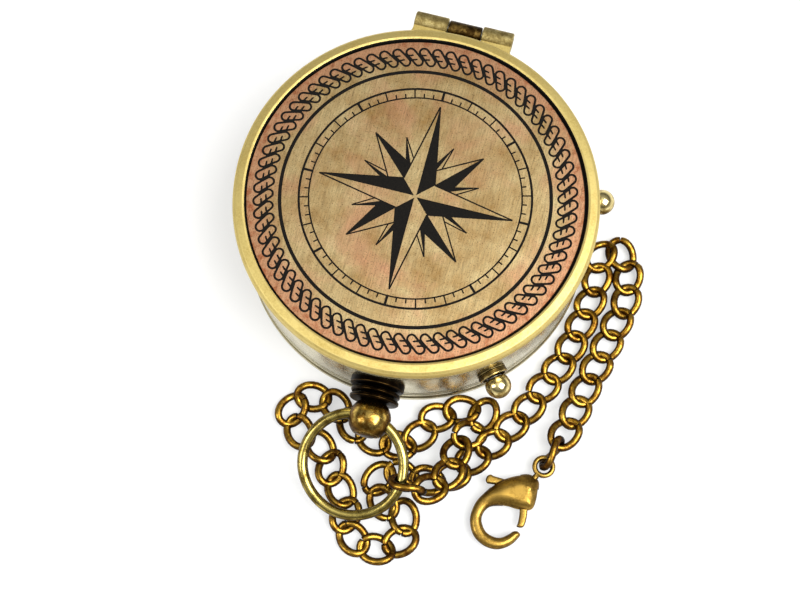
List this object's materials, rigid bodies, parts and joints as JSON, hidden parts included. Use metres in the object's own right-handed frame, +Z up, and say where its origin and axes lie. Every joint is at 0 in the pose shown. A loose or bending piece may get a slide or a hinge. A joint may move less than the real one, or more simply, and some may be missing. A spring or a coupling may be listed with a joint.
{
  "type": "pocket compass with lid and chain",
  "caption": "Round brass pocket compass with a hinged engraved lid, a bow ring on a ball pendant, side studs and a curb chain that ends in a lobster clasp.",
  "frame": {"origin": "centre of the case's flat base, on the table", "axes": "+Z up through the lid, +Y towards the lid hinge, the bow ring at -Y"},
  "size_m": [0.0705, 0.0905, 0.0207],
  "materials": {
    "polished_brass": "polished, lightly worn",
    "aged_brass": "aged satin",
    "engraved_plate": "brushed and patinated, engraving filled black",
    "dark_bronze": "darkened antique",
    "bow_brass": "polished",
    "chain_bronze": "antique bronze plate",
    "spring_steel": "plain",
    "blued_steel": "blued",
    "dial_card": "matt printed card",
    "glass": "clear"
  },
  "bodies": {
    "case": {"case_body": "aged_brass", "case_hinge_leaf": "dark_bronze", "hinge_pin": "aged_brass", "pendant_collar": "dark_bronze", "pendant_ball": "aged_brass", "pendant_nut": "aged_brass", "release_collar": "aged_brass", "release_spring": "spring_steel", "arrest_collar": "aged_brass", "arrest_spring": "spring_steel", "arrest_bracket": "aged_brass", "arrest_pivot_pin": "aged_brass", "works_bowl": "aged_brass", "dial_card": "dial_card", "glass_spacer_ring": "aged_brass", "glass": "glass", "glass_retaining_ring": "polished_brass", "pivot_post": "spring_steel", "chain_bow_stretch": "chain_bronze", "chain_right_loop": "chain_bronze", "chain_under_pendant": "chain_bronze", "chain_left_loop": "chain_bronze", "chain_front_loop": "chain_bronze", "chain_middle_run": "chain_bronze", "chain_inner_strand": "chain_bronze", "chain_turn": "chain_bronze", "chain_outer_strand": "chain_bronze", "chain_clasp_link": "chain_bronze", "clasp_body": "chain_bronze", "clasp_rivet": "dark_bronze", "clasp_spring": "spring_steel"},
    "lid": {"lid_shell": "polished_brass", "lid_engraved_plate": "engraved_plate", "lid_catch_hook": "aged_brass", "lid_hinge_leaf_left": "polished_brass", "lid_hinge_leaf_right": "polished_brass"},
    "bow": {"bow_ring": "bow_brass", "chain_bow_link": "chain_bronze"},
    "release_button": {"release_plunger": "polished_brass", "release_catch": "aged_brass"},
    "arrest_button": {"arrest_plunger": "polished_brass"},
    "arrest_lever": {"arrest_lever": "spring_steel"},
    "needle": {"needle_cap": "polished_brass", "needle_blade": "blued_steel"},
    "clasp_trigger": {"clasp_trigger": "chain_bronze"}
  },
  "joints": [
    {"name": "lid_hinge", "type": "hinge", "parent": "case", "child": "lid", "pos_m": [0, 0.03175, 0.01735], "axis": [-1, 0, 0], "range_deg": [0, 110]},
    {"name": "bow_swing", "type": "hinge", "parent": "case", "child": "bow", "pos_m": [0.00154, -0.03527, 0.009], "axis": [-0.9936, 0.1132, 0], "range_deg": [0, 120], "deforming": ["chain_bow_stretch"]},
    {"name": "release_press", "type": "slide", "parent": "case", "child": "release_button", "axis": [-0.6428, 0.766, 0], "range_m": [0, 0.0007], "stiffness_N_per_m": 60, "springref_m": -0.001, "deforming": ["release_spring"]},
    {"name": "arrest_press", "type": "slide", "parent": "case", "child": "arrest_button", "axis": [-0.9367, -0.3502, 0], "range_m": [0, 0.0007], "stiffness_N_per_m": 60, "springref_m": -0.001, "deforming": ["arrest_spring"]},
    {"name": "arrest_lever_tilt", "type": "hinge", "parent": "case", "child": "arrest_lever", "pos_m": [0.01264, 0.00473, 0.0066], "axis": [-0.3502, 0.9367, 0], "range_deg": [0, 2]},
    {"name": "needle_spin", "type": "hinge", "parent": "case", "child": "needle", "pos_m": [0, 0, 0.012], "axis": [0, 0, 1], "continuous": true},
    {"name": "clasp_trigger_press", "type": "hinge", "parent": "case", "child": "clasp_trigger", "pos_m": [0.02932, -0.0388, 0.00185], "axis": [0, 0, -1], "range_deg": [0, 20], "stiffness_Nm_per_rad": 0.004, "springref_deg": -17.19, "deforming": ["clasp_spring"]}
  ],
  "couplings": [
    {"joint": "arrest_lever_tilt", "follows": "arrest_press", "rad_per_m": 45.5}
  ]
}
